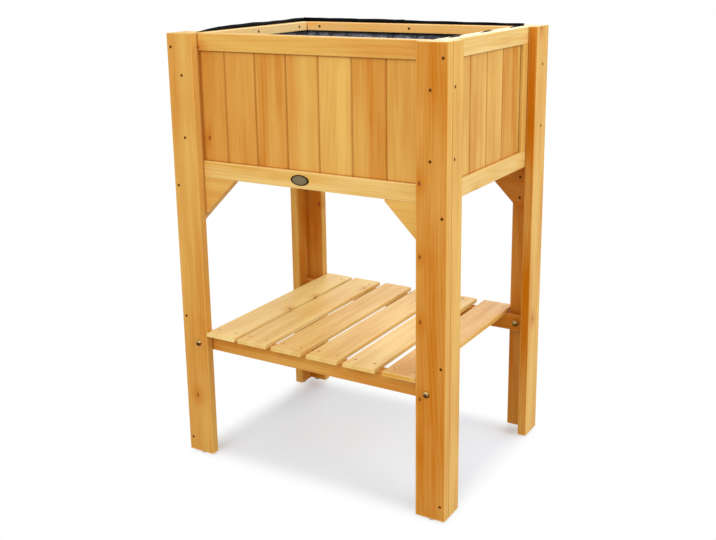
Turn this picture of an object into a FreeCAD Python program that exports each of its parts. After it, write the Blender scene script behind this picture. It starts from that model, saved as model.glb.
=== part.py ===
import FreeCAD, Part

import math
import os

from FreeCAD import Vector

# Raised planter: four L-shaped legs, four framed tongue-and-groove panels, a liner and a slatted shelf.
# Millimetres. X runs along the front, Y from front to rear, Z up. The origin is on the floor, at the centre.

# Overall sizes over the leg boards, and the stock that they are cut from
WIDTH = 550.0
DEPTH = 420.0
LEG_LENGTH = 800.0
TIMBER_THICKNESS = 17.0
TIMBER_EDGE_RADIUS = 1.5

# Leg boards: the face board shows on the front or rear, the side board is butted behind it
LEG_FACE_WIDTH = 55.0
LEG_SIDE_WIDTH = 38.0

# Wall panels: rails and stiles with a rebate along the back, and boards that lie in the rebate
PANEL_HEIGHT = 257.0
RAIL_HEIGHT = 30.0
SIDE_STILE_WIDTH = 41.0
REBATE_WIDTH = 8.0
REBATE_CLEARANCE = 0.5
PANEL_BOARD_THICKNESS = 11.0

# Tongue-and-groove boards
FRONT_BOARD_PITCH = 64.5
FRONT_FIRST_BOARD_SHOWS = 53.0
SIDE_BOARD_PITCH = 67.0
SIDE_FIRST_BOARD_SHOWS = 55.0
SIDE_LAST_BOARD_SLIT = 2.0
NARROWEST_STRIP = 8.0
TONGUE_LENGTH = 4.0
TONGUE_THICKNESS = 3.5
TONGUE_CLEARANCE = 0.3
VEE_DEPTH = 1.5

# Gussets in the corners under the front and rear panels
GUSSET_LEG = 104.0
GUSSET_TIP = 3.0

# Lower shelf
SHELF_TOP_ABOVE_FOOT = 249.5
SHELF_RAIL_HEIGHT = 32.0
SLAT_GAP = 12.8
FIRST_GAP_LESS = 4.5
LAST_GAP_EXTRA = 2.8
SLAT_THICKNESS = 8.0
SLAT_EDGE_RADIUS = 2.0
SLAT_COUNT = 6
SLAT_END_SETBACK = 0.5
SLAT_SIDE_CLEARANCE = 0.5

# Planting floor
CLEAT_HEIGHT = 20.0
CLEAT_THICKNESS = 17.0
FLOOR_SLAT_COUNT = 6
FLOOR_CLEARANCE = 0.5

# Liner and the battens that clamp it
LINER_THICKNESS = 1.0
LINER_CLEARANCE = 0.3
LINER_CORNER_RADIUS = 8.0
LINER_RISE_REAR = 6.0
LINER_DROP_FRONT = 2.0
BATTEN_HEIGHT = 17.0
BATTEN_THICKNESS = 15.0
BATTEN_DROP = 1.0
BATTEN_END_GAP = 3.0

# Shelf bolts, washers and nuts
BOLT_DIAMETER = 6.0
BOLT_HOLE_CLEARANCE = 0.5
BOLT_HEAD_DIAMETER = 12.0
BOLT_HEAD_HEIGHT = 3.3
BOLT_HEAD_RIM = 0.8
BOLT_CROWN_DIAMETER = 6.0
SOCKET_ACROSS_FLATS = 4.0
SOCKET_DEPTH = 2.0
BOLT_TAIL = 2.0
BOLT_FROM_LEG_EDGE = 35.0
NUT_ACROSS_FLATS = 10.0
NUT_HEIGHT = 5.0
NUT_CLEARANCE = 0.05
WASHER_DIAMETER = 12.5
WASHER_THICKNESS = 1.2

# Glides under the leg boards
GLIDE_DIAMETER = 13.0
GLIDE_SOLE_DIAMETER = 9.0
GLIDE_HEIGHT = 5.0
GLIDE_BEVEL = 2.0

# Planes that the pieces share, worked out from the sizes above
HALF_WIDTH = WIDTH / 2
HALF_DEPTH = DEPTH / 2
FOOT_Z = GLIDE_HEIGHT
TOP_Z = FOOT_Z + LEG_LENGTH
PANEL_BOTTOM_Z = TOP_Z - PANEL_HEIGHT
OPENING_BOTTOM_Z = PANEL_BOTTOM_Z + RAIL_HEIGHT
OPENING_TOP_Z = TOP_Z - RAIL_HEIGHT
SIDE_BOARD_INNER_X = HALF_WIDTH - TIMBER_THICKNESS
FACE_BOARD_INNER_Y = HALF_DEPTH - TIMBER_THICKNESS
FACE_BOARD_EDGE_X = HALF_WIDTH - LEG_FACE_WIDTH
SIDE_BOARD_EDGE_Y = FACE_BOARD_INNER_Y - LEG_SIDE_WIDTH
FRONT_PANEL_INNER_Y = FACE_BOARD_INNER_Y - TIMBER_THICKNESS
SIDE_PANEL_INNER_X = SIDE_BOARD_INNER_X - TIMBER_THICKNESS
FRONT_STILE_WIDTH = SIDE_BOARD_INNER_X - FACE_BOARD_EDGE_X
RECESS = TIMBER_THICKNESS - PANEL_BOARD_THICKNESS
SHELF_TOP_Z = FOOT_Z + SHELF_TOP_ABOVE_FOOT
SHELF_RAIL_TOP_Z = SHELF_TOP_Z - SLAT_THICKNESS
SHELF_RAIL_BOTTOM_Z = SHELF_RAIL_TOP_Z - SHELF_RAIL_HEIGHT
SHELF_HALF_SPAN = FACE_BOARD_EDGE_X - SLAT_SIDE_CLEARANCE
SLAT_GAPS_TOTAL = (SLAT_COUNT - 1) * SLAT_GAP - FIRST_GAP_LESS + LAST_GAP_EXTRA
SLAT_WIDTH = (2 * SHELF_HALF_SPAN - SLAT_GAPS_TOTAL) / SLAT_COUNT
BOLT_X = HALF_WIDTH - BOLT_FROM_LEG_EDGE
BOLT_Z = (SHELF_RAIL_TOP_Z + SHELF_RAIL_BOTTOM_Z) / 2
FLOOR_SLAT_BOTTOM_Z = PANEL_BOTTOM_Z + CLEAT_HEIGHT
FLOOR_TOP_Z = FLOOR_SLAT_BOTTOM_Z + SLAT_THICKNESS
LINER_HALF_X = SIDE_PANEL_INNER_X - LINER_CLEARANCE
LINER_HALF_Y = FRONT_PANEL_INNER_Y - LINER_CLEARANCE

CORNERS = {
    "front_left": (-1, -1),
    "front_right": (1, -1),
    "rear_left": (-1, 1),
    "rear_right": (1, 1),
}
X_AXIS = Vector(1, 0, 0)
Y_AXIS = Vector(0, 1, 0)
Z_AXIS = Vector(0, 0, 1)
ORIGIN = Vector(0, 0, 0)


def block(x_range, y_range, z_range):
    """A box between pairs of coordinates, given in either order."""
    lows = [min(pair) for pair in (x_range, y_range, z_range)]
    sizes = [abs(pair[1] - pair[0]) for pair in (x_range, y_range, z_range)]
    return Part.makeBox(*sizes, Vector(*lows))


def runs_along(edge, axis):
    """True for a straight edge that is parallel to an axis."""
    if len(edge.Vertexes) != 2:
        return False
    direction = edge.Vertexes[1].Point - edge.Vertexes[0].Point
    return abs(abs(direction.dot(axis)) - direction.Length) < 1e-6


def eased(solid, axis, radius, chosen=lambda centre: True):
    """Round the edges along an axis, all of them or those whose centre is chosen."""
    edges = [e for e in solid.Edges if runs_along(e, axis) and chosen(e.CenterOfMass)]
    return solid.makeFillet(radius, edges)


def prism(points, direction):
    """Extrude a closed outline of points."""
    outline = Part.makePolygon(points + points[:1])
    return Part.Face(outline).extrude(direction)


def turned(shape, degrees):
    """A copy turned about the upright axis through the origin."""
    copy = shape.copy()
    copy.rotate(ORIGIN, Z_AXIS, degrees)
    return copy


def leg_boards():
    """Two boards to a leg. The face board has the hole for the shelf bolt."""
    nodes = {}
    z_range = (FOOT_Z, TOP_Z)
    for corner, (sx, sy) in CORNERS.items():
        face = block(
            (sx * FACE_BOARD_EDGE_X, sx * HALF_WIDTH),
            (sy * FACE_BOARD_INNER_Y, sy * HALF_DEPTH),
            z_range,
        )
        side = block(
            (sx * SIDE_BOARD_INNER_X, sx * HALF_WIDTH),
            (sy * SIDE_BOARD_EDGE_Y, sy * FACE_BOARD_INNER_Y),
            z_range,
        )
        face = eased(face, Z_AXIS, TIMBER_EDGE_RADIUS)
        nodes[f"leg_{corner}_face"] = face.cut(bolt_hole(sx, sy))
        nodes[f"leg_{corner}_side"] = eased(side, Z_AXIS, TIMBER_EDGE_RADIUS)
    return nodes


def glide_centres(sx, sy):
    """Centres of the two board ends under one leg."""
    face_centre = Vector(sx * (HALF_WIDTH - LEG_FACE_WIDTH / 2), sy * (HALF_DEPTH - TIMBER_THICKNESS / 2), 0)
    side_centre = Vector(
        sx * (HALF_WIDTH - TIMBER_THICKNESS / 2),
        sy * (FACE_BOARD_INNER_Y - LEG_SIDE_WIDTH / 2),
        0,
    )
    return face_centre, side_centre


def bolt_hole(sx, sy):
    """Hole for a shelf bolt, through a face board and the shelf rail behind it."""
    radius = (BOLT_DIAMETER + BOLT_HOLE_CLEARANCE) / 2
    start = Vector(sx * BOLT_X, sy * HALF_DEPTH, BOLT_Z)
    return Part.makeCylinder(radius, 2 * TIMBER_THICKNESS, start, Vector(0, -sy, 0))


def panel_rail(half_length, outer_y, z_range, board_edge_z):
    """Rail of a panel that faces -Y, with a rebate at the back of the edge that holds the boards."""
    inward = 1 if board_edge_z == z_range[0] else -1
    back_y = outer_y + TIMBER_THICKNESS
    x_range = (-half_length, half_length)
    rail = block(x_range, (outer_y, back_y), z_range)
    rebate = block(x_range, (outer_y + RECESS, back_y), (board_edge_z, board_edge_z + inward * REBATE_WIDTH))
    rail = rail.cut(rebate)
    return eased(rail, X_AXIS, TIMBER_EDGE_RADIUS, lambda centre: abs(centre.y - outer_y) < 1e-6)


def panel_stile(end_x, opening_x, outer_y):
    """Stile of a panel that faces -Y. Its back is rebated for the boards and laps into both rails."""
    outward = 1 if end_x > opening_x else -1
    lip = block((opening_x, end_x), (outer_y, outer_y + RECESS), (OPENING_BOTTOM_Z, OPENING_TOP_Z))
    back = block(
        (opening_x + outward * REBATE_WIDTH, end_x),
        (outer_y + RECESS, outer_y + TIMBER_THICKNESS),
        (OPENING_BOTTOM_Z - REBATE_WIDTH, OPENING_TOP_Z + REBATE_WIDTH),
    )
    stile = lip.fuse(back).removeSplitter()
    edge = Vector(opening_x, outer_y, 0)
    return eased(
        stile,
        Z_AXIS,
        TIMBER_EDGE_RADIUS,
        lambda centre: abs(centre.x - edge.x) < 1e-6 and abs(centre.y - edge.y) < 1e-6,
    )


def panel_board(left_x, right_x, outer_y, grooved, tongued):
    """Upright board with a groove in its left edge and a tongue on its right edge, as asked."""
    face_y = outer_y + RECESS
    back_y = outer_y + TIMBER_THICKNESS
    middle_y = (face_y + back_y) / 2
    half_tongue = TONGUE_THICKNESS / 2
    half_groove = half_tongue + TONGUE_CLEARANCE / 2
    groove_x = left_x + TONGUE_LENGTH + TONGUE_CLEARANCE
    outline = []
    if grooved:
        outline += [(left_x, face_y + VEE_DEPTH), (left_x + VEE_DEPTH, face_y)]
    else:
        outline += [(left_x, face_y)]
    if tongued:
        outline += [
            (right_x - VEE_DEPTH, face_y),
            (right_x, face_y + VEE_DEPTH),
            (right_x, middle_y - half_tongue),
            (right_x + TONGUE_LENGTH, middle_y - half_tongue),
            (right_x + TONGUE_LENGTH, middle_y + half_tongue),
            (right_x, middle_y + half_tongue),
        ]
    else:
        outline += [(right_x, face_y)]
    outline += [(right_x, back_y), (left_x, back_y)]
    if grooved:
        outline += [
            (left_x, middle_y + half_groove),
            (groove_x, middle_y + half_groove),
            (groove_x, middle_y - half_groove),
            (left_x, middle_y - half_groove),
        ]
    lap = REBATE_WIDTH - REBATE_CLEARANCE
    bottom_z = OPENING_BOTTOM_Z - lap
    height = OPENING_TOP_Z + lap - bottom_z
    return prism([Vector(x, y, bottom_z) for x, y in outline], Vector(0, 0, height))


def panel_boards(half_opening, outer_y, first_shows, pitch, last_edge_x):
    """Boards of a panel that faces -Y, laid from its left stile. The first and last are ripped to width."""
    joints = []
    joint = first_shows - half_opening
    while joint < half_opening - NARROWEST_STRIP:
        joints.append(joint)
        joint += pitch
    first_edge_x = -half_opening - REBATE_WIDTH + REBATE_CLEARANCE
    edges = [first_edge_x] + joints + [last_edge_x]
    boards = []
    for index in range(len(edges) - 1):
        grooved = index > 0
        tongued = index < len(joints)
        boards.append(panel_board(edges[index], edges[index + 1], outer_y, grooved, tongued))
    return Part.makeCompound(boards)


def panel_pieces(half_length, stile_width, outer_distance, boards):
    """The five nodes of a panel that faces -Y, with its outer face that far from the centre."""
    outer_y = -outer_distance
    half_opening = half_length - stile_width
    return {
        "top_rail": panel_rail(half_length, outer_y, (OPENING_TOP_Z, TOP_Z), OPENING_TOP_Z),
        "bottom_rail": panel_rail(half_length, outer_y, (PANEL_BOTTOM_Z, OPENING_BOTTOM_Z), OPENING_BOTTOM_Z),
        "left_stile": panel_stile(-half_length, -half_opening, outer_y),
        "right_stile": panel_stile(half_length, half_opening, outer_y),
        "boards": boards,
    }


def wall_panels():
    """Front and rear panels run behind the side boards' inner faces, and the side panels fit between them."""
    front_half_opening = SIDE_BOARD_INNER_X - FRONT_STILE_WIDTH
    front_boards = panel_boards(
        front_half_opening,
        -FACE_BOARD_INNER_Y,
        FRONT_FIRST_BOARD_SHOWS,
        FRONT_BOARD_PITCH,
        front_half_opening + TONGUE_LENGTH,
    )
    side_half_opening = FRONT_PANEL_INNER_Y - SIDE_STILE_WIDTH
    side_boards = panel_boards(
        side_half_opening,
        -SIDE_BOARD_INNER_X,
        SIDE_FIRST_BOARD_SHOWS,
        SIDE_BOARD_PITCH,
        side_half_opening - SIDE_LAST_BOARD_SLIT,
    )
    front = panel_pieces(SIDE_BOARD_INNER_X, FRONT_STILE_WIDTH, FACE_BOARD_INNER_Y, front_boards)
    side = panel_pieces(FRONT_PANEL_INNER_Y, SIDE_STILE_WIDTH, SIDE_BOARD_INNER_X, side_boards)
    nodes = {}
    for panel, pieces, degrees in (
        ("front", front, 0),
        ("right", side, 90),
        ("rear", front, 180),
        ("left", side, 270),
    ):
        for piece, shape in pieces.items():
            nodes[f"{panel}_panel_{piece}"] = turned(shape, degrees)
    return nodes


def gussets():
    """Triangles between the undersides of the front and rear panels and the side boards of the legs."""
    nodes = {}
    for corner, (sx, sy) in CORNERS.items():
        corner_x = SIDE_BOARD_INNER_X
        tip_x = corner_x - GUSSET_LEG
        foot_z = PANEL_BOTTOM_Z - GUSSET_LEG
        outline = [
            (corner_x, PANEL_BOTTOM_Z),
            (tip_x, PANEL_BOTTOM_Z),
            (tip_x, PANEL_BOTTOM_Z - GUSSET_TIP),
            (corner_x - GUSSET_TIP, foot_z),
            (corner_x, foot_z),
        ]
        points = [Vector(sx * x, sy * FACE_BOARD_INNER_Y, z) for x, z in outline]
        nodes[f"gusset_{corner}"] = prism(points, Vector(0, -sy * TIMBER_THICKNESS, 0))
    return nodes


def shelf():
    """Two rails behind the face boards of the legs, and slats that lie on them between the legs."""
    nodes = {}
    for name, sy in (("front", -1), ("rear", 1)):
        rail = block(
            (-SIDE_BOARD_INNER_X, SIDE_BOARD_INNER_X),
            (sy * FRONT_PANEL_INNER_Y, sy * FACE_BOARD_INNER_Y),
            (SHELF_RAIL_BOTTOM_Z, SHELF_RAIL_TOP_Z),
        )
        outer_y = sy * FACE_BOARD_INNER_Y
        rail = eased(rail, X_AXIS, TIMBER_EDGE_RADIUS, lambda centre: abs(centre.y - outer_y) < 1e-6)
        for sx in (-1, 1):
            rail = rail.cut(bolt_hole(sx, sy))
        nodes[f"shelf_{name}_rail"] = rail
    half_length = HALF_DEPTH - SLAT_END_SETBACK
    for index in range(SLAT_COUNT):
        left_x = -SHELF_HALF_SPAN + index * (SLAT_WIDTH + SLAT_GAP)
        if index > 0:
            left_x -= FIRST_GAP_LESS
        if index == SLAT_COUNT - 1:
            left_x += LAST_GAP_EXTRA
        slat = block(
            (left_x, left_x + SLAT_WIDTH),
            (-half_length, half_length),
            (SHELF_RAIL_TOP_Z, SHELF_TOP_Z),
        )
        slat = eased(slat, Y_AXIS, SLAT_EDGE_RADIUS, lambda centre: abs(centre.z - SHELF_TOP_Z) < 1e-6)
        nodes[f"shelf_slat_{index + 1}"] = slat
    return nodes


def planting_floor():
    """Cleats on the insides of the front and rear bottom rails, and slats that lie on them."""
    nodes = {}
    half_cleat = SIDE_PANEL_INNER_X - FLOOR_CLEARANCE
    for name, sy in (("front", -1), ("rear", 1)):
        nodes[f"floor_{name}_cleat"] = block(
            (-half_cleat, half_cleat),
            (sy * FRONT_PANEL_INNER_Y, sy * (FRONT_PANEL_INNER_Y - CLEAT_THICKNESS)),
            (PANEL_BOTTOM_Z, FLOOR_SLAT_BOTTOM_Z),
        )
    half_length = FRONT_PANEL_INNER_Y - FLOOR_CLEARANCE
    gap = (2 * SIDE_PANEL_INNER_X - FLOOR_SLAT_COUNT * SLAT_WIDTH) / (FLOOR_SLAT_COUNT + 1)
    for index in range(FLOOR_SLAT_COUNT):
        left_x = -SIDE_PANEL_INNER_X + gap + index * (SLAT_WIDTH + gap)
        nodes[f"floor_slat_{index + 1}"] = block(
            (left_x, left_x + SLAT_WIDTH),
            (-half_length, half_length),
            (FLOOR_SLAT_BOTTOM_Z, FLOOR_TOP_Z),
        )
    return nodes


def rounded_column(half_x, half_y, radius, z_range):
    """Upright column of rectangular section with rounded corners."""
    return eased(block((-half_x, half_x), (-half_y, half_y), z_range), Z_AXIS, radius)


def liner():
    """Open bag against the insides of the panels, whose edge climbs from the front rail to the rear."""
    bottom_z = FLOOR_TOP_Z + LINER_CLEARANCE
    front_z = TOP_Z - LINER_DROP_FRONT
    rear_z = TOP_Z + LINER_RISE_REAR
    above_z = rear_z + LINER_RISE_REAR
    outside = rounded_column(LINER_HALF_X, LINER_HALF_Y, LINER_CORNER_RADIUS, (bottom_z, above_z))
    inside = rounded_column(
        LINER_HALF_X - LINER_THICKNESS,
        LINER_HALF_Y - LINER_THICKNESS,
        LINER_CORNER_RADIUS - LINER_THICKNESS,
        (bottom_z + LINER_THICKNESS, above_z),
    )
    trimmed_off = prism(
        [
            Vector(-HALF_WIDTH, -LINER_HALF_Y, front_z),
            Vector(-HALF_WIDTH, LINER_HALF_Y, rear_z),
            Vector(-HALF_WIDTH, LINER_HALF_Y, above_z),
            Vector(-HALF_WIDTH, -LINER_HALF_Y, above_z),
        ],
        Vector(WIDTH, 0, 0),
    )
    return {"liner": outside.cut(inside).cut(trimmed_off)}


def battens():
    """Strips that clamp the liner to the top rails. The side ones stop where the liner's corners curve."""
    z_range = (TOP_Z - BATTEN_DROP - BATTEN_HEIGHT, TOP_Z - BATTEN_DROP)
    outer_x = LINER_HALF_X - LINER_THICKNESS - LINER_CLEARANCE
    outer_y = LINER_HALF_Y - LINER_THICKNESS - LINER_CLEARANCE
    inner_x = outer_x - BATTEN_THICKNESS
    inner_y = outer_y - BATTEN_THICKNESS
    half_side = LINER_HALF_Y - LINER_CORNER_RADIUS
    half_front = inner_x - BATTEN_END_GAP
    nodes = {}
    for name, sx in (("left", -1), ("right", 1)):
        face_x = sx * inner_x
        batten = block((face_x, sx * outer_x), (-half_side, half_side), z_range)
        batten = eased(batten, Y_AXIS, TIMBER_EDGE_RADIUS, lambda centre: abs(centre.x - face_x) < 1e-6)
        nodes[f"batten_{name}"] = batten
    for name, sy in (("front", -1), ("rear", 1)):
        face_y = sy * inner_y
        batten = block((-half_front, half_front), (face_y, sy * outer_y), z_range)
        batten = eased(batten, X_AXIS, TIMBER_EDGE_RADIUS, lambda centre: abs(centre.y - face_y) < 1e-6)
        nodes[f"batten_{name}"] = batten
    return nodes


def revolved(profile):
    """Revolve a wire in the XZ plane about the Z axis."""
    return Part.Face(profile).revolve(ORIGIN, Z_AXIS, 360)


def hexagon(across_flats, bottom_z, height):
    """Hexagonal prism about the Z axis."""
    radius = across_flats / math.sqrt(3)
    corners = [math.radians(60 * index) for index in range(6)]
    points = [Vector(radius * math.cos(a), radius * math.sin(a), bottom_z) for a in corners]
    return prism(points, Vector(0, 0, height))


def bolt():
    """Bolt with a domed socket head. Its head is seated at Z = 0 and its shank points down."""
    length = 2 * TIMBER_THICKNESS + WASHER_THICKNESS + NUT_HEIGHT + BOLT_TAIL
    shank_r = BOLT_DIAMETER / 2
    head_r = BOLT_HEAD_DIAMETER / 2
    crown_r = BOLT_CROWN_DIAMETER / 2
    shoulder = Vector(head_r, 0, BOLT_HEAD_RIM)
    crown = Vector(crown_r, 0, BOLT_HEAD_HEIGHT)
    bulge = (shoulder + crown) / 2 + Vector(1, 0, 1) * (BOLT_HEAD_HEIGHT - BOLT_HEAD_RIM) / 5
    corners = [
        crown,
        Vector(0, 0, BOLT_HEAD_HEIGHT),
        Vector(0, 0, -length),
        Vector(shank_r, 0, -length),
        Vector(shank_r, 0, 0),
        Vector(head_r, 0, 0),
        shoulder,
    ]
    edges = list(Part.makePolygon(corners).Edges)
    edges.append(Part.Arc(shoulder, bulge, crown).toShape())
    solid = revolved(Part.Wire(edges))
    return solid.cut(hexagon(SOCKET_ACROSS_FLATS, BOLT_HEAD_HEIGHT - SOCKET_DEPTH, SOCKET_DEPTH))


def washer():
    """Washer between the shelf rail and the nut, in the bolt's own frame."""
    top_z = -2 * TIMBER_THICKNESS
    outside = Part.makeCylinder(WASHER_DIAMETER / 2, WASHER_THICKNESS, Vector(0, 0, top_z), -Z_AXIS)
    hole_r = (BOLT_DIAMETER + BOLT_HOLE_CLEARANCE) / 2
    return outside.cut(Part.makeCylinder(hole_r, WASHER_THICKNESS, Vector(0, 0, top_z), -Z_AXIS))


def nut():
    """Hexagonal nut under the washer, in the bolt's own frame."""
    bottom_z = -2 * TIMBER_THICKNESS - WASHER_THICKNESS - NUT_HEIGHT
    bore_r = BOLT_DIAMETER / 2 + NUT_CLEARANCE
    bore = Part.makeCylinder(bore_r, NUT_HEIGHT, Vector(0, 0, bottom_z))
    return hexagon(NUT_ACROSS_FLATS, bottom_z, NUT_HEIGHT).cut(bore)


def shelf_hardware():
    """A bolt, washer and nut at each leg, with the heads on the outer faces."""
    nodes = {}
    for name, piece in (("bolts", bolt()), ("washers", washer()), ("nuts", nut())):
        copies = []
        for sx, sy in CORNERS.values():
            copy = piece.copy()
            copy.rotate(ORIGIN, X_AXIS, -90 * sy)
            copy.translate(Vector(sx * BOLT_X, sy * HALF_DEPTH, BOLT_Z))
            copies.append(copy)
        nodes[f"shelf_{name}"] = Part.makeCompound(copies)
    return nodes


def leg_glides():
    """Round glides under the middle of each leg board, bevelled towards a flat sole."""
    rim_r = GLIDE_DIAMETER / 2
    sole_r = GLIDE_SOLE_DIAMETER / 2
    outline = [
        ORIGIN,
        Vector(sole_r, 0, 0),
        Vector(rim_r, 0, GLIDE_BEVEL),
        Vector(rim_r, 0, GLIDE_HEIGHT),
        Vector(0, 0, GLIDE_HEIGHT),
        ORIGIN,
    ]
    glide = revolved(Part.makePolygon(outline))
    copies = []
    for sx, sy in CORNERS.values():
        for centre in glide_centres(sx, sy):
            copy = glide.copy()
            copy.translate(centre)
            copies.append(copy)
    return {"leg_glides": Part.makeCompound(copies)}


def main():
    """Make every node and write each to its own file."""
    os.makedirs("parts", exist_ok=True)
    nodes = {}
    for group in (
        leg_boards,
        wall_panels,
        gussets,
        shelf,
        planting_floor,
        liner,
        battens,
        shelf_hardware,
        leg_glides,
    ):
        nodes.update(group())
    for name, shape in nodes.items():
        shape.exportStep(f"parts/{name}.step")
        print(name, len(shape.Solids), round(shape.Volume), shape.isValid())


main()
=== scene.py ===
"""Raised planter: oiled softwood boards, a folded black liner, screws, bolts and a bare oval plate.

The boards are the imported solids. Each is given timber of its own, cut from a solid pattern of growth rings.
The liner, the wood screws and the plate are surfaces worked out here. The units are metres, with +X to the
right, +Y to the rear and +Z up.
"""

import logging
from collections.abc import Callable
from dataclasses import dataclass, field, replace
from enum import Enum, IntEnum
from functools import partial

import bpy
import numpy as np
from mathutils import Matrix, Vector

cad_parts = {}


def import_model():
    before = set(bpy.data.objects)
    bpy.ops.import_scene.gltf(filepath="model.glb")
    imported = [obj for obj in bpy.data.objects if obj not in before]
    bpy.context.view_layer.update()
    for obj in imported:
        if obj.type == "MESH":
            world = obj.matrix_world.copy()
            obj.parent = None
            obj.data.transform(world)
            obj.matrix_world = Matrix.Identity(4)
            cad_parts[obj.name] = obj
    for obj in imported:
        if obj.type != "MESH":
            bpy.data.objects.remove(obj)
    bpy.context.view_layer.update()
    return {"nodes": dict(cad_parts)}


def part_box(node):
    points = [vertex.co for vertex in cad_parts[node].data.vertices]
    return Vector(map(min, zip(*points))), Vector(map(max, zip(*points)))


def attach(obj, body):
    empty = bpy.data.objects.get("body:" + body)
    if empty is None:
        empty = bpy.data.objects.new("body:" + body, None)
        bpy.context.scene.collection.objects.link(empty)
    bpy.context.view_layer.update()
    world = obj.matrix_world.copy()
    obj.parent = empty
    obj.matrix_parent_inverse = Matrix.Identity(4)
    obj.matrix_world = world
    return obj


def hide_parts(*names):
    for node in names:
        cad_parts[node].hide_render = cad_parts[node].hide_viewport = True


LOG = logging.getLogger("raised_planter")
MM = 0.001
TINY = 1e-9
WHITE = (1.0, 1.0, 1.0, 1.0)
SLATS = range(1, 7)
CORNERS = {
    "front_left": (-1, -1),
    "front_right": (1, -1),
    "rear_left": (-1, 1),
    "rear_right": (1, 1),
}

Pieces = list[bpy.types.Object]
Nodes = dict[str, bpy.types.Object]
Value = bpy.types.Node | bpy.types.NodeSocket
AddNode = Callable[..., bpy.types.Node]
ScrewRows = list[tuple[float, ...]]


class Axis(IntEnum):
    """An axis of the planter."""

    X = 0
    Y = 1
    Z = 2


class Tone(Enum):
    """How far a board's colour lies from pale sapwood, at 0, towards amber heartwood, at 1."""

    CREAM = 0.02
    PALE = 0.16
    STRAW = 0.32
    HONEY = 0.46
    WARM = 0.60
    AMBER = 0.71
    RUST = 0.82


def triangle(turns: np.ndarray) -> np.ndarray:
    """A triangle wave, from 1 at whole numbers down to 0 halfway between them."""
    return 2 * np.abs(turns % 1 - 0.5)


def ramp_up(values: np.ndarray, length: float) -> np.ndarray:
    """A straight rise from 0, at 0 and below, to 1, at a length and above."""
    return np.clip(values / length, 0, 1)


def end_of(node: str, axis: Axis, sense: int) -> float:
    """Where a node's box ends along an axis: its high end for a sense of 1, its low end for -1."""
    low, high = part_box(node)
    return high[axis] if sense > 0 else low[axis]


def linear(hex_colour: str) -> tuple[float, float, float, float]:
    """Turn an sRGB hex colour into the linear colour that a shader socket takes.

    Args:
        hex_colour: A colour such as "#D8A050".

    Returns:
        Linear red, green and blue, and an alpha of 1.
    """
    srgb = np.array([int(hex_colour[i : i + 2], 16) for i in (1, 3, 5)]) / 255
    rgb = np.where(srgb <= 0.04045, srgb / 12.92, ((srgb + 0.055) / 1.055) ** 2.4)
    return (*rgb.tolist(), 1.0)


def add(tree: bpy.types.NodeTree, kind: str, inputs: dict | tuple = (), **settings: object) -> bpy.types.Node:
    """Add a shader node with its settings and links.

    Args:
        tree: The material's or world's node tree.
        kind: The node's type, without its ShaderNode prefix.
        inputs: The inputs in order, or by name or number. Each is a value, an output, or a node whose first
            output in use is meant.
        **settings: Properties of the node.

    Returns:
        The new node.
    """
    node = tree.nodes.new(f"ShaderNode{kind}")
    for key, value in settings.items():
        setattr(node, key, value)
    for key, value in inputs.items() if isinstance(inputs, dict) else enumerate(inputs):
        if isinstance(value, bpy.types.Node):
            value = next(output for output in value.outputs if output.enabled)
        if isinstance(value, bpy.types.NodeSocket):
            tree.links.new(value, node.inputs[key])
        else:
            node.inputs[key].default_value = value
    return node


def set_stops(ramp: bpy.types.ColorRamp, levels: list[tuple[float, float]]) -> None:
    """Give a new colour ramp its stops.

    Args:
        ramp: The ramp, which starts with a stop at 0 and one at 1.
        levels: Each stop's place and grey level. The first place is 0.
    """
    ramp.elements.remove(ramp.elements[1])
    for place, level in levels:
        stop = ramp.elements.new(place) if place > 0 else ramp.elements[0]
        stop.color = (level, level, level, 1.0)


def new_material(name: str) -> tuple[bpy.types.Material, AddNode]:
    """Make a material with an empty node tree.

    Args:
        name: The material's name.

    Returns:
        The material, and the function that adds a node to its tree.
    """
    material = bpy.data.materials.new(name)
    material.use_nodes = True
    material.node_tree.nodes.clear()
    return material, partial(add, material.node_tree)


def coat(node: AddNode, sockets: dict, height: Value, lift: float, strength: float) -> None:
    """Close a material with a principled shader over a bump.

    Args:
        node: The function that adds a node to the material.
        sockets: The shader's inputs by name.
        height: The bump's height, from 0 to about 1.
        lift: How far a height of 1 stands out.
        strength: The share of the bump that shows.
    """
    bump = node("Bump", {"Height": height, "Strength": strength, "Distance": lift})
    shader = node("BsdfPrincipled", {**sockets, "Normal": bump})
    node("OutputMaterial", {"Surface": shader})


def paint(piece: bpy.types.Object, material: bpy.types.Material) -> None:
    """Make a material the only one on a piece."""
    piece.data.materials.clear()
    piece.data.materials.append(material)


def new_piece(
    name: str, points: np.ndarray, faces: list[np.ndarray], attributes: dict[str, np.ndarray]
) -> bpy.types.Object:
    """Make a smooth-shaded mesh that rides on the planter.

    Args:
        name: The piece's name.
        points: Its vertices in the row frame, one to a row.
        faces: Arrays of vertex numbers, one face to a row.
        attributes: A value for each vertex, by attribute name.

    Returns:
        The new object, at the origin with its place in its mesh.
    """
    mesh = bpy.data.meshes.new(name)
    mesh.from_pydata(points.tolist(), [], [face for array in faces for face in array.tolist()])
    for key, values in attributes.items():
        layer = mesh.attributes.new(key, "FLOAT", "POINT")
        layer.data.foreach_set("value", np.ascontiguousarray(values, np.float32))
    mesh.shade_smooth()
    piece = bpy.data.objects.new(name, mesh)
    bpy.context.scene.collection.objects.link(piece)
    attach(piece, "root")
    return piece


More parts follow.
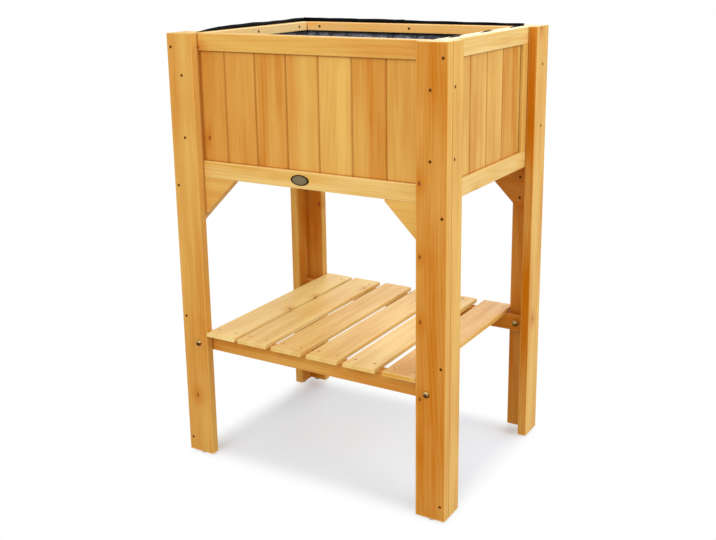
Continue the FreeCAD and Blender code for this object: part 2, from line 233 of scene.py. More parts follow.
def turned_body(radius: np.ndarray, height: np.ndarray) -> tuple[np.ndarray, list[np.ndarray]]:
    """Carry a profile round the Z axis, closed by a point at each end.

    The point in row i and column j is (r cos a, r sin a, h), with a = 2 pi j / columns.

    Args:
        radius: Distance from the axis, a row for each step along the profile. The first and last rows are 0.
        height: Height of the same points.

    Returns:
        The vertices, row by row with one vertex for each end row, and the faces of the top, the sides and the
        bottom, pointing outwards for a profile that starts at the top.
    """
    rows, columns = radius.shape
    angle = np.linspace(0, 2 * np.pi, columns, endpoint=False)
    grid = np.stack([radius * np.cos(angle), radius * np.sin(angle), height + 0 * angle], axis=-1)
    points = np.concatenate([grid[0, :1], grid[1:-1].reshape(-1, 3), grid[-1, :1]])
    ring = np.arange(columns)
    after = np.roll(ring, -1)
    last = 1 + (rows - 3) * columns
    start = 1 + columns * np.arange(rows - 3)[:, None]
    top = np.stack([0 * ring, 1 + ring, 1 + after], axis=-1)
    sides = np.stack([start + ring, start + columns + ring, start + columns + after, start + after], axis=-1)
    bottom = np.stack([0 * ring + len(points) - 1, last + after, last + ring], axis=-1)
    return points, [top, sides.reshape(-1, 4), bottom]


@dataclass(frozen=True)
class Streak:
    """Noise drawn out along the grain: its width, changes to a metre, detail and share in the tone."""

    width_mm: float
    per_m: float
    detail: float
    share: float


@dataclass(frozen=True)
class KnotPart:
    """A round part of a knot: where it starts to fade and where it ends, in cells, and its depth."""

    inner: float
    outer: float
    depth: float


@dataclass(frozen=True)
class OiledSoftwood:
    """Planed pine under honey-coloured oil, which deepens the late wood and leaves the early wood pale.

    It shows soft bands along the grain, fine darker ring lines, a few small knots, a low sheen and paler
    rubbed edges, whose paleness is also a painted highlight. The streaks are bands, clouds and fibres. A
    fibre is too fine to show, so it is drawn about 2 mm wide. An edge's fade and raggedness are in edge
    widths, and the core of a line of dark oil and painted shade is a share of its width.
    """

    sapwood: str = "#E1B25C"
    heartwood: str = "#C06C00"
    # The colour of dark oil in joints and beside other boards, also painting the shade there.
    joint: str = "#984C00"
    knot: str = "#7A3D12"
    contrast: float = 1.0
    streaks: tuple[Streak, Streak, Streak] = (
        Streak(18.0, 3.0, 3.0, 0.8),
        Streak(70.0, 5.0, 2.0, 0.8),
        Streak(2.2, 12.0, 2.0, 0.34),
    )
    ring_mm: float = 5.5
    ring_levels: tuple[tuple[float, float], ...] = (
        (0.0, 0.25),
        (0.12, 0.0),
        (0.55, 0.2),
        (0.88, 1.0),
        (1.0, 0.25),
    )
    late_share: float = 0.14
    late_start: float = -0.05
    pith_mm: tuple[float, float] = (20.0, 50.0)
    pith_slope: float = 0.012
    sways_per_m: tuple[float, float, float] = (7.0, 7.0, 1.1)
    sway_mm: float = 60.0
    knots_per_m: tuple[float, float] = (14.0, 9.0)
    knot_rarity: float = 0.88
    knot_halo: KnotPart = KnotPart(0.03, 0.3, 0.5)
    knot_core: KnotPart = KnotPart(0.015, 0.055, 0.85)
    edge_mm: float = 1.6
    edge_fade: tuple[float, float] = (-1.0, 0.6)
    edge_ragged: float = 2.0
    edge_depth: float = 0.5
    face_mm: float = 0.4
    oil_and_shade_core: float = 0.3
    roughness: float = 0.42
    rough_change: float = 0.22
    specular: float = 0.1
    ior: float = 1.5
    late_lift: float = 0.5
    bump_mm: float = 0.12
    bump_share: float = 0.55


@dataclass(frozen=True)
class BoardRun:
    """Boards side by side in one node: the axis across them, its sense, the first joint, the pitch and tones.

    Each board is cut from another place in the pattern, a shift away from the one before, and has a pith of
    its own.
    """

    across: Axis
    sense: int
    first_joint: float
    pitch: float
    tones: tuple[Tone, ...]
    joint_mm: float = 3.6
    joint_depth: float = 0.36
    shift: tuple[float, float, float] = (1.7, 2.3, 3.1)
    pith_move: tuple[float, float, float] = (0.09, 0.09, 0.0)


@dataclass(frozen=True)
class OilAndShadeLine:
    """A dark line beside another board, of oil and painted shade: its place on an axis, its width and its
    depth.
    """

    axis: Axis
    place: float
    width_mm: float = 3.0
    depth: float = 0.6


@dataclass
class Timber:
    """One node's timber, cut from growth rings about a pith beside the board.

    Faces show straight and arched grain, and ends show arcs. Lines of dark oil and painted shade lie on the
    outer side, and the faces across an axis can have a tone of their own.

    The fields from add on are set by build: the function that adds a node, the random numbers, the axes with
    the grain's last, half the board's size, the planter's coordinates, the board's own ones, those about one
    board of a run, the room to the board's faces, the place in the pattern, the tone at a point and the
    distance from a joint of a run.
    """

    finish: OiledSoftwood
    piece: bpy.types.Object
    grain: Axis
    tone: Tone
    seed: int
    run: BoardRun | None = None
    lines: tuple[OilAndShadeLine, ...] = ()
    faces: dict[Axis, Tone] = field(default_factory=dict)
    reach: float = 3.0
    add: AddNode = field(init=False)
    rng: np.random.Generator = field(init=False)
    order: list[Axis] = field(init=False)
    half: list[float] = field(init=False)
    xyz: bpy.types.NodeOutputs = field(init=False)
    board: Value = field(init=False)
    ring_board: Value = field(init=False)
    room: bpy.types.NodeOutputs = field(init=False)
    place: Value = field(init=False)
    lean: Value | float = field(init=False)
    joint: Value = field(init=False)

    def build(self) -> None:
        """Make the material and put it on the piece."""
        material, self.add = new_material(f"oiled_softwood_{self.piece.name}")
        self.rng = np.random.default_rng(self.seed)
        self.set_out()
        self.set_tone()
        late = self.rings()
        streaks = [self.streak(kind) for kind in self.finish.streaks]
        fibre = streaks[-1]
        colour = self.knots(self.bare_wood(late, streaks))
        colour = self.oil(self.rub_and_highlight(colour, fibre))
        self.shade(colour, late, fibre)
        paint(self.piece, material)

    def set_out(self) -> None:
        """Set the board's own coordinates, two across the grain and the third along it."""
        low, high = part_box(self.piece.name)
        self.order = [Axis((self.grain + step) % 3) for step in (1, 2, 3)]
        self.half = [(high[axis] - low[axis]) / 2 for axis in self.order]
        centre = [(low[axis] + high[axis]) / 2 for axis in self.order]
        self.xyz = self.add("SeparateXYZ", (self.add("TexCoord").outputs["Object"],)).outputs
        turned = self.add("CombineXYZ", tuple(self.xyz[axis] for axis in self.order))
        self.board = self.add("VectorMath", (turned, centre), operation="SUBTRACT")
        self.ring_board = self.board
        from_middle = self.add("VectorMath", (self.board,), operation="ABSOLUTE")
        room = self.add("VectorMath", (self.half, from_middle), operation="SUBTRACT")
        self.room = self.add("SeparateXYZ", (room,)).outputs
        corner = self.rng.uniform(-self.reach, self.reach, 3)
        self.place = self.add("VectorMath", (self.board, corner), operation="ADD")

    def set_tone(self) -> None:
        """Set the tone at a point: the board's, that of a board in a run, or that of a face with its own."""
        self.lean = self.tone.value
        if self.run is not None:
            self.tell_boards_apart(self.run)
        for axis, tone in self.faces.items():
            room = self.room[self.order.index(axis)]
            near = self.add("Math", (room, self.finish.face_mm * MM), operation="LESS_THAN")
            change = self.add("Math", (tone.value, self.lean), operation="SUBTRACT")
            self.lean = self.add("Math", (near, change, self.lean), operation="MULTIPLY_ADD")

    def tell_boards_apart(self, run: BoardRun) -> None:
        """Number the boards of a run by their joints, so that each has its own tone, grain and pith.

        The boards stand upright, so the axes of the set are the planter's.

        Args:
            run: The boards.
        """
        along = self.add("Math", (self.xyz[run.across], run.sense), operation="MULTIPLY")
        from_first = self.add("Math", (along, run.first_joint), operation="SUBTRACT")
        steps = self.add("Math", (from_first, run.pitch), operation="DIVIDE")
        index = self.add("Math", (steps,), operation="FLOOR")
        nearest = self.add("Math", (steps,), operation="ROUND")
        from_joint = self.add("Math", (steps, nearest), operation="SUBTRACT")
        apart = self.add("Math", (from_joint,), operation="ABSOLUTE")
        self.joint = self.add("Math", (apart, run.pitch), operation="MULTIPLY")
        count = len(run.tones)
        # The board before the first joint is number -1, and each number reads the middle of its step.
        share = self.add("Math", (index, 1 / count, 1.5 / count), operation="MULTIPLY_ADD")
        ramp = self.add("ValToRGB", (share,))
        ramp.color_ramp.interpolation = "CONSTANT"
        set_stops(ramp.color_ramp, [(number / count, tone.value) for number, tone in enumerate(run.tones)])
        self.lean = ramp
        shift = self.add("VectorMath", (index, run.shift), operation="MULTIPLY")
        self.place = self.add("VectorMath", (self.place, shift), operation="ADD")
        chance = self.add("TexWhiteNoise", {"W": index}, noise_dimensions="1D").outputs["Color"]
        moved = self.add("VectorMath", (chance, run.pith_move), operation="MULTIPLY")
        into_board = self.add("Math", (steps, index), operation="SUBTRACT")
        from_middle = self.add("Math", (into_board, 0.5), operation="SUBTRACT")
        middle = self.add("Math", (from_middle, run.pitch), operation="MULTIPLY")
        parts = dict(enumerate(self.add("SeparateXYZ", (self.board,)).outputs))
        own = self.add("CombineXYZ", {**parts, run.across: middle})
        self.ring_board = self.add("VectorMath", (own, moved), operation="ADD")

    def rings(self) -> Value:
        """Late wood, from 0 to 1: each ring darkens slowly outwards and ends at a line.

        Returns:
            The share of late wood at a point: a saw-tooth of the distance from the pith in ring widths, where
            slow noise bends the point first.
        """
        wood = self.finish
        slow = self.add("VectorMath", (self.place, wood.sways_per_m), operation="MULTIPLY")
        noise = self.add("TexNoise", {"Vector": slow, "Scale": 1.0, "Detail": 2.0}).outputs["Color"]
        offset = self.add("VectorMath", (noise, (0.5, 0.5, 0.5)), operation="SUBTRACT")
        sway = (wood.sway_mm * MM, wood.sway_mm * MM, 0.0)
        bent = self.add("VectorMath", (offset, sway, self.ring_board), operation="MULTIPLY_ADD")
        nearest, farthest = wood.pith_mm
        pith = [*self.rng.uniform(nearest * MM, farthest * MM, 2) * self.rng.choice((-1, 1), 2), 0.0]
        from_pith = self.add("VectorMath", (bent, pith), operation="SUBTRACT")
        across = self.add("VectorMath", (from_pith, (1, 1, wood.pith_slope)), operation="MULTIPLY")
        radius = self.add("VectorMath", (across,), operation="LENGTH")
        turns = self.add("Math", (radius, wood.ring_mm * MM), operation="DIVIDE")
        ramp = self.add("ValToRGB", (self.add("Math", (turns,), operation="FRACT"),))
        set_stops(ramp.color_ramp, wood.ring_levels)
        return ramp

    def streak(self, kind: Streak) -> Value:
        """Noise drawn out along the grain.

        Args:
            kind: Its width, changes to a metre and detail.

        Returns:
            A value about 0.5.
        """
        across = 1 / (kind.width_mm * MM)
        at = self.add("VectorMath", (self.place, (across, across, kind.per_m)), operation="MULTIPLY")
        return self.add("TexNoise", {"Vector": at, "Scale": 1.0, "Detail": kind.detail})

    def bare_wood(self, late: Value, streaks: list[Value]) -> Value:
        """Mix sapwood and heartwood by the board's tone, moved by late wood and streaks.

        Args:
            late: The share of late wood.
            streaks: Bands, clouds and fibres, each about 0.5.

        Returns:
            The bare wood's colour.
        """
        wood = self.finish
        mix = self.add("Math", (late, wood.late_share, wood.late_start), operation="MULTIPLY_ADD")
        for streak, kind in zip(streaks, wood.streaks):
            amount = kind.share * wood.contrast
            moved = self.add("Math", (streak, amount, -amount / 2), operation="MULTIPLY_ADD")
            mix = self.add("Math", (moved, mix), operation="ADD")
        mix = self.add("Math", (mix, self.lean), operation="ADD", use_clamp=True)
        woods = {6: linear(wood.sapwood), 7: linear(wood.heartwood)}
        return self.add("Mix", {0: mix, **woods}, data_type="RGBA")

    def knots(self, colour: Value) -> Value:
        """Put a small knot with a darker ring round it into a few cells of a Voronoi pattern.

        The pattern lies on the board's wide faces. A knot goes through the board, so the pattern is the same
        all through its thickness.

        Args:
            colour: The bare wood's colour.

        Returns:
            The colour with knots.
        """
        wood = self.finish
        wide = 0 if self.half[0] > self.half[1] else 1
        place = self.add("SeparateXYZ", (self.place,)).outputs
        flat = self.add("CombineXYZ", (place[wide], place[2]))
        at = self.add("VectorMath", (flat, (*wood.knots_per_m, 0.0)), operation="MULTIPLY")
        cell = self.add("TexVoronoi", {"Vector": at, "Scale": 1.0}, voronoi_dimensions="2D").outputs
        chance = self.add("SeparateColor", (cell["Color"],))
        rare = self.add("Math", (chance, wood.knot_rarity), operation="GREATER_THAN")
        for part, tint in ((wood.knot_halo, wood.heartwood), (wood.knot_core, wood.knot)):
            reach = (cell["Distance"], part.inner, part.outer, part.depth, 0.0)
            share = self.add("MapRange", reach, interpolation_type="SMOOTHSTEP")
            share = self.add("Math", (share, rare), operation="MULTIPLY")
            colour = self.add("Mix", {0: share, 6: colour, 7: linear(tint)}, data_type="RGBA")
        return colour

    def rub_and_highlight(self, colour: Value, fibre: Value) -> Value:
        """Make the edges pale, as rubbed and as a painted highlight. An edge is where the second smallest of
        the distances to the faces is small.

        Args:
            colour: The colour so far.
            fibre: Fine streaks, which make the rubbed edge ragged.

        Returns:
            The colour with its edges.
        """
        wood = self.finish
        width = wood.edge_mm * MM
        start, end = (share * width for share in wood.edge_fade)
        first, second, third = self.room
        smaller = self.add("Math", (first, second), operation="MINIMUM")
        larger = self.add("Math", (first, second), operation="MAXIMUM")
        other = self.add("Math", (larger, third), operation="MINIMUM")
        middle = self.add("Math", (smaller, other), operation="MAXIMUM")
        ragged = self.add("Math", (fibre, -wood.edge_ragged * width, middle), operation="MULTIPLY_ADD")
        rubbed = self.add("MapRange", (ragged, start, end, wood.edge_depth, 0.0))
        return self.add("Mix", {0: rubbed, 6: colour, 7: linear(wood.sapwood)}, data_type="RGBA")

    def oil(self, colour: Value) -> Value:
        """Darken the joints of a run, and beside other boards on the outer side, as oil and as painted shade.

        A point on the inner side counts as a metre further from every line.

        Args:
            colour: The colour so far.

        Returns:
            The finished colour.
        """
        wood = self.finish
        oil_and_shade_lines = []
        if self.run is not None:
            oil_and_shade_lines.append((self.joint, self.run.joint_mm, self.run.joint_depth))
        if self.lines:
            facing = Axis.Y if self.lines[0].axis == Axis.X else Axis.X
            low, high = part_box(self.piece.name)
            out = self.add("Math", (self.xyz[facing],), operation="ABSOLUTE")
            inside = self.add("Math", (out, abs(low[facing] + high[facing]) / 2), operation="LESS_THAN")
            for line in self.lines:
                from_line = self.add("Math", (self.xyz[line.axis], line.place), operation="SUBTRACT")
                apart = self.add("Math", (from_line,), operation="ABSOLUTE")
                outer = self.add("Math", (apart, inside), operation="ADD")
                oil_and_shade_lines.append((outer, line.width_mm, line.depth))
        for apart, width_mm, depth in oil_and_shade_lines:
            width = width_mm * MM
            share = self.add("MapRange", (apart, wood.oil_and_shade_core * width, width, depth, 0.0))
            colour = self.add("Mix", {0: share, 6: colour, 7: linear(wood.joint)}, data_type="RGBA")
        return colour

    def shade(self, colour: Value, late: Value, fibre: Value) -> None:
        """Finish the surface: late wood stands a little proud, and fibres break up the sheen.

        Args:
            colour: The finished colour.
            late: The share of late wood.
            fibre: Fine streaks.
        """
        wood = self.finish
        smoothest = wood.roughness - wood.rough_change / 2
        rough = self.add("Math", (fibre, wood.rough_change, smoothest), operation="MULTIPLY_ADD")
        height = self.add("Math", (late, wood.late_lift, fibre), operation="MULTIPLY_ADD")
        optics = {"IOR": wood.ior, "Specular IOR Level": wood.specular}
        sockets = {"Base Color": colour, "Roughness": rough, **optics}
        coat(self.add, sockets, height, wood.bump_mm * MM, wood.bump_share)


@dataclass(frozen=True)
class Metal:
    """A plated or cast metal, or one painted dark, with blotches of tarnish.

    Where a relief attribute is named, the metal is bright on what stands proud and tarnished in what lies
    deep. Where a height is given, what lies below it is painted dark, a painted reflection of the dark below.
    """

    name: str
    colour: str
    tarnish: str
    roughness: float
    blotch_mm: float
    relief: str = ""
    dark_reflection_below: float | None = None
    dark_reflection_fade_mm: float = 5.0
    dark_reflection_depth: float = 0.9
    blotch_ends: tuple[float, float] = (0.42, 0.68)
    blotch_depth: float = 0.7
    dulling: float = 0.25
    bump_mm: float = 0.1
    bump_share: float = 0.3

    def material(self) -> bpy.types.Material:
        """Make the material.

        Returns:
            The material.
        """
        material, node = new_material(self.name)
        coords = node("TexCoord").outputs["Object"]
        blotch = node("TexNoise", {"Vector": coords, "Scale": 1 / (self.blotch_mm * MM), "Detail": 4.0})
        dull = node("MapRange", (blotch, *self.blotch_ends, 0.0, self.blotch_depth))
        if self.relief:
            proud = node("Attribute", attribute_name=self.relief).outputs["Fac"]
            deep = node("Math", (1.0, proud), operation="SUBTRACT")
            dull = node("Math", (dull, deep), operation="ADD", use_clamp=True)
        # Painted dark reflection below the given height.
        if self.dark_reflection_below is not None:
            up = node("SeparateXYZ", (coords,)).outputs["Z"]
            half = self.dark_reflection_fade_mm * MM / 2
            dark_reflection = node("MapRange", (up, self.dark_reflection_below - half, self.dark_reflection_below + half, self.dark_reflection_depth, 0.0))
            dull = node("Math", (dull, dark_reflection), operation="ADD", use_clamp=True)
        colour = node("Mix", {0: dull, 6: linear(self.colour), 7: linear(self.tarnish)}, data_type="RGBA")
        rough = node("Math", (dull, self.dulling, self.roughness), operation="MULTIPLY_ADD")
        sockets = {"Base Color": colour, "Roughness": rough, "Metallic": 1.0}
        coat(node, sockets, blotch, self.bump_mm * MM, self.bump_share)
        return material


@dataclass(frozen=True)
class MouldedPlastic:
    """Milky polyethylene from the mould: pale and a little waxy, with a faint grain, darker towards the sole.
    """

    name: str = "moulded_polyethylene"
    colour: str = "#E0CCC4"
    scuff: str = "#8A7F7B"
    sole_tone: str = "#3E3640"
    roughness: float = 0.4
    ior: float = 1.52
    scuff_mm: float = 3.0
    scuff_ends: tuple[float, float] = (0.5, 0.75)
    scuff_depth: float = 0.8
    sole_tone_mm: float = 2.6
    sole_tone_full: float = 0.4
    sole_tone_depth: float = 0.9
    dulling: float = 0.3
    bump_mm: float = 0.1
    bump_share: float = 0.2

    def material(self) -> bpy.types.Material:
        """Make the material.

        Returns:
            The material.
        """
        material, node = new_material(self.name)
        coords = node("TexCoord").outputs["Object"]
        noise = node("TexNoise", {"Vector": coords, "Scale": 1 / (self.scuff_mm * MM), "Detail": 3.0})
        scuffed = node("MapRange", (noise, *self.scuff_ends, 0.0, self.scuff_depth))
        clean = node("Mix", {0: scuffed, 6: linear(self.colour), 7: linear(self.scuff)}, data_type="RGBA")
        up = node("SeparateXYZ", (coords,)).outputs["Z"]
        top = self.sole_tone_mm * MM
        near_sole = node("MapRange", (up, self.sole_tone_full * top, top, self.sole_tone_depth, 0.0))
        colour = node("Mix", {0: near_sole, 6: clean, 7: linear(self.sole_tone)}, data_type="RGBA")
        rough = node("Math", (scuffed, self.dulling, self.roughness), operation="MULTIPLY_ADD")
        sockets = {"Base Color": colour, "Roughness": rough, "IOR": self.ior}
        coat(node, sockets, noise, self.bump_mm * MM, self.bump_share)
        return material


@dataclass(frozen=True)
class BlackFilm:
    """Blown black polyethylene film: smooth and black, with a soft gloss.

    Crumpling leaves small creases in it and greys them, partly as scuffing and partly as painted sheen, and
    an attribute says how far.
    """

    name: str = "black_polyethylene_film"
    colour: str = "#07070A"
    # The creases' grey is partly scuffing and partly painted sheen.
    scuff: str = "#A8B0C0"
    roughness: float = 0.28
    rough_change: float = 0.3
    specular: float = 0.6
    ior: float = 1.51
    crease_mm: float = 30.0
    finer: float = 2.6
    small_share: float = 0.3
    slope: float = 0.5
    grey_ends: tuple[float, float] = (0.2, 0.95)
    grey_depths: tuple[float, float] = (0.12, 0.72)
    wear: str = "wear"

    def material(self) -> bpy.types.Material:
        """Make the material, with creases where the cones of two Voronoi patterns meet, one of them finer.

        Noise sets the patterns askew, and the creases lift the surface by the square root of that attribute.

        Returns:
            The material.
        """
        material, node = new_material(self.name)
        coords = node("TexCoord").outputs["Object"]
        size = self.crease_mm * MM
        noise = node("TexNoise", {"Vector": coords, "Scale": 1 / size, "Detail": 2.0})
        moved = (noise.outputs["Color"], (size, size, size), coords)
        askew = node("VectorMath", moved, operation="MULTIPLY_ADD")
        large = node("TexVoronoi", {"Vector": askew, "Scale": 1 / size})
        small = node("TexVoronoi", {"Vector": askew, "Scale": self.finer / size})
        crease = node("Math", (small, self.small_share, large), operation="MULTIPLY_ADD")
        wear = node("Attribute", attribute_name=self.wear).outputs["Fac"]
        # Grey on the creases: scuffing and painted sheen.
        greyed = node("MapRange", (crease, *self.grey_ends, *self.grey_depths))
        share = node("Math", (greyed, wear), operation="MULTIPLY")
        colour = node("Mix", {0: share, 6: linear(self.colour), 7: linear(self.scuff)}, data_type="RGBA")
        smoothest = self.roughness - self.rough_change / 2
        rough = node("Math", (noise, self.rough_change, smoothest), operation="MULTIPLY_ADD")
        worn_and_sheen = node("Math", (wear, 0.5), operation="POWER")
        height = node("Math", (crease, worn_and_sheen), operation="MULTIPLY")
        optics = {"IOR": self.ior, "Specular IOR Level": self.specular}
        coat(node, {"Base Color": colour, "Roughness": rough, **optics}, height, self.slope * size, 1.0)
        return material


@dataclass
class Woodwork:
    """Every board of the planter, with the way its grain runs and its tone."""

    nodes: Nodes
    finish: OiledSoftwood = OiledSoftwood()
    side_finish: OiledSoftwood = OiledSoftwood(contrast=1.5)
    pale_finish: OiledSoftwood = OiledSoftwood("#F0D188", "#D29630", contrast=1.4, specular=0.2)
    # Brighter than the other finishes, which paints light onto battens that stand in the box's shade.
    batten_finish_with_painted_light: OiledSoftwood = OiledSoftwood("#FFE0A2", "#FFB034", specular=0.2)
    front_tones: tuple[Tone, ...] = (
        Tone.WARM,
        Tone.HONEY,
        Tone.WARM,
        Tone.STRAW,
        Tone.PALE,
        Tone.WARM,
        Tone.STRAW,
    )
    side_tones: tuple[Tone, ...] = (Tone.PALE, Tone.PALE, Tone.PALE, Tone.WARM, Tone.PALE)
    slat_tones: tuple[Tone, ...] = (Tone.CREAM, Tone.STRAW, Tone.HONEY, Tone.HONEY, Tone.STRAW, Tone.RUST)
    front_joint: float = -0.167
    front_pitch: float = 0.0645
    side_joint: float = -0.080
    side_pitch: float = 0.067
    leg_joint_mm: float = 1.4
    leg_joint_depth: float = 0.55
    dressed: Pieces = field(default_factory=list)

    def build(self) -> Pieces:
        """Dress the legs, panels, gussets, shelf, planting floor and battens.

        Returns:
            The boards.
        """
        self.dress_legs()
        self.dress_panels()
        beside_legs = self.leg_edges(Axis.X)
        for corner, (_, sy) in CORNERS.items():
            # The rear gussets are darker, which paints the shade they stand in under the box.
            tone = Tone.PALE if sy < 0 else Tone.RUST
            self.cut(f"gusset_{corner}", Axis.X, tone, lines=beside_legs)
        # The rear shelf rail's darker tone also paints the shade under the box.
        for end, tone in (("front", Tone.WARM), ("rear", Tone.RUST)):
            self.cut(f"shelf_{end}_rail", Axis.X, tone, lines=beside_legs)
            self.cut(f"floor_{end}_cleat", Axis.X, Tone.PALE, self.pale_finish)
            self.cut(f"batten_{end}", Axis.X, Tone.AMBER, self.batten_finish_with_painted_light)
        for side in ("left", "right"):
            self.cut(f"batten_{side}", Axis.Y, Tone.STRAW, self.batten_finish_with_painted_light)
        for number, tone in zip(SLATS, self.slat_tones):
            self.cut(f"shelf_slat_{number}", Axis.Y, tone, self.pale_finish)
            self.cut(f"floor_slat_{number}", Axis.Y, tone, self.pale_finish)
        return self.dressed

    def cut(
        self,
        name: str,
        grain: Axis,
        tone: Tone,
        finish: OiledSoftwood | None = None,
        run: BoardRun | None = None,
        lines: tuple[OilAndShadeLine, ...] = (),
        faces: dict[Axis, Tone] | None = None,
    ) -> None:
        """Dress one node with its own timber.

        Args:
            name: The node's name.
            grain: The axis of its grain.
            tone: Its tone.
            finish: Its finish, where it isn't the usual one.
            run: The boards in the node, where it holds several.
            lines: Dark lines where the board meets others.
            faces: Tones of the faces across an axis, where they differ.
        """
        self.dressed.append(self.nodes[name])
        seed = len(self.dressed)
        Timber(finish or self.finish, self.nodes[name], grain, tone, seed, run, lines, faces or {}).build()

    def leg_edges(self, axis: Axis) -> tuple[OilAndShadeLine, ...]:
        """Lines on the panels beside the inner edges of the legs.

        Args:
            axis: X for the front and rear, Y for the sides.

        Returns:
            A line for each end of a panel.
        """
        board = "leg_front_right_face" if axis == Axis.X else "leg_rear_right_side"
        edge = end_of(board, axis, -1)
        return (OilAndShadeLine(axis, -edge), OilAndShadeLine(axis, edge))

    def dress_legs(self) -> None:
        """Dress each leg's face board and side board, with a tone for the board and one for its edges."""
        tones = {
            "front_left": (Tone.HONEY, Tone.STRAW, Tone.HONEY, Tone.HONEY),
            "front_right": (Tone.AMBER, Tone.PALE, Tone.PALE, Tone.PALE),
            "rear_left": (Tone.RUST, Tone.PALE, Tone.RUST, Tone.WARM),
            "rear_right": (Tone.AMBER, Tone.PALE, Tone.PALE, Tone.RUST),
        }
        for corner, (face, face_edge, side, side_edge) in tones.items():
            meeting = end_of(f"leg_{corner}_side", Axis.Y, CORNERS[corner][1])
            joint = (OilAndShadeLine(Axis.Y, meeting, self.leg_joint_mm, self.leg_joint_depth),)
            # Both ends across Z take cream, a painted highlight meant for the top, where the light falls.
            faces = {Axis.X: face_edge, Axis.Z: Tone.CREAM}
            self.cut(f"leg_{corner}_face", Axis.Z, face, faces=faces)
            faces = {Axis.Y: side_edge, Axis.Z: Tone.CREAM}
            self.cut(f"leg_{corner}_side", Axis.Z, side, self.side_finish, lines=joint, faces=faces)

    def dress_panels(self) -> None:
        """Dress the rails, stiles and boards of the four walls. The rear and left runs are turned round."""
        front = (self.front_joint, self.front_pitch, self.front_tones)
        side = (self.side_joint, self.side_pitch, self.side_tones)
        runs = {
            "front": BoardRun(Axis.X, 1, *front),
            "right": BoardRun(Axis.Y, 1, *side),
            "rear": BoardRun(Axis.X, -1, *front),
            "left": BoardRun(Axis.Y, -1, *side),
        }
        for wall, run in runs.items():
            lines = self.leg_edges(run.across)
            at_side = run.across == Axis.Y
            top = (Tone.HONEY, self.pale_finish) if at_side else (Tone.STRAW, self.finish)
            bottom = (Tone.HONEY if at_side else Tone.WARM, self.pale_finish)
            for rail, look in (("top_rail", top), ("bottom_rail", bottom)):
                # Both faces across Z take cream, a painted highlight meant for the top, where the light
                # falls.
                faces = {Axis.Z: Tone.CREAM}
                self.cut(f"{wall}_panel_{rail}", run.across, *look, lines=lines, faces=faces)
            for stile in ("left_stile", "right_stile"):
                self.cut(f"{wall}_panel_{stile}", Axis.Z, Tone.PALE if at_side else Tone.HONEY, lines=lines)
            # The lines above the bottom rail and under the top rail are dark oil and painted shade.
            floor = OilAndShadeLine(Axis.Z, end_of(f"{wall}_panel_bottom_rail", Axis.Z, 1))
            head = OilAndShadeLine(Axis.Z, end_of(f"{wall}_panel_top_rail", Axis.Z, -1))
            finish = self.side_finish if at_side else self.finish
            self.cut(f"{wall}_panel_boards", Axis.Z, Tone.HONEY, finish, run, (*lines, floor, head))


@dataclass
class Hardware:
    """The shelf bolts, washers and nuts, and the glides under the legs."""

    nodes: Nodes
    zinc: Metal = Metal("yellow_zinc_plated_steel", "#D0AE70", "#4E3210", 0.24, 3.0)
    plastic: MouldedPlastic = MouldedPlastic()

    def build(self) -> Pieces:
        """Dress the CAD nodes. The bolts are painted dark below their middle, a painted reflection of the
        dark below them.

        Returns:
            The bolts, washers, nuts and glides.
        """
        low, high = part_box("shelf_bolts")
        zinc = replace(self.zinc, dark_reflection_below=(low.z + high.z) / 2).material()
        dressed = [self.nodes[name] for name in ("shelf_bolts", "shelf_washers", "shelf_nuts")]
        for piece in dressed:
            paint(piece, zinc)
        glides = self.nodes["leg_glides"]
        paint(glides, self.plastic.material())
        return [*dressed, glides]


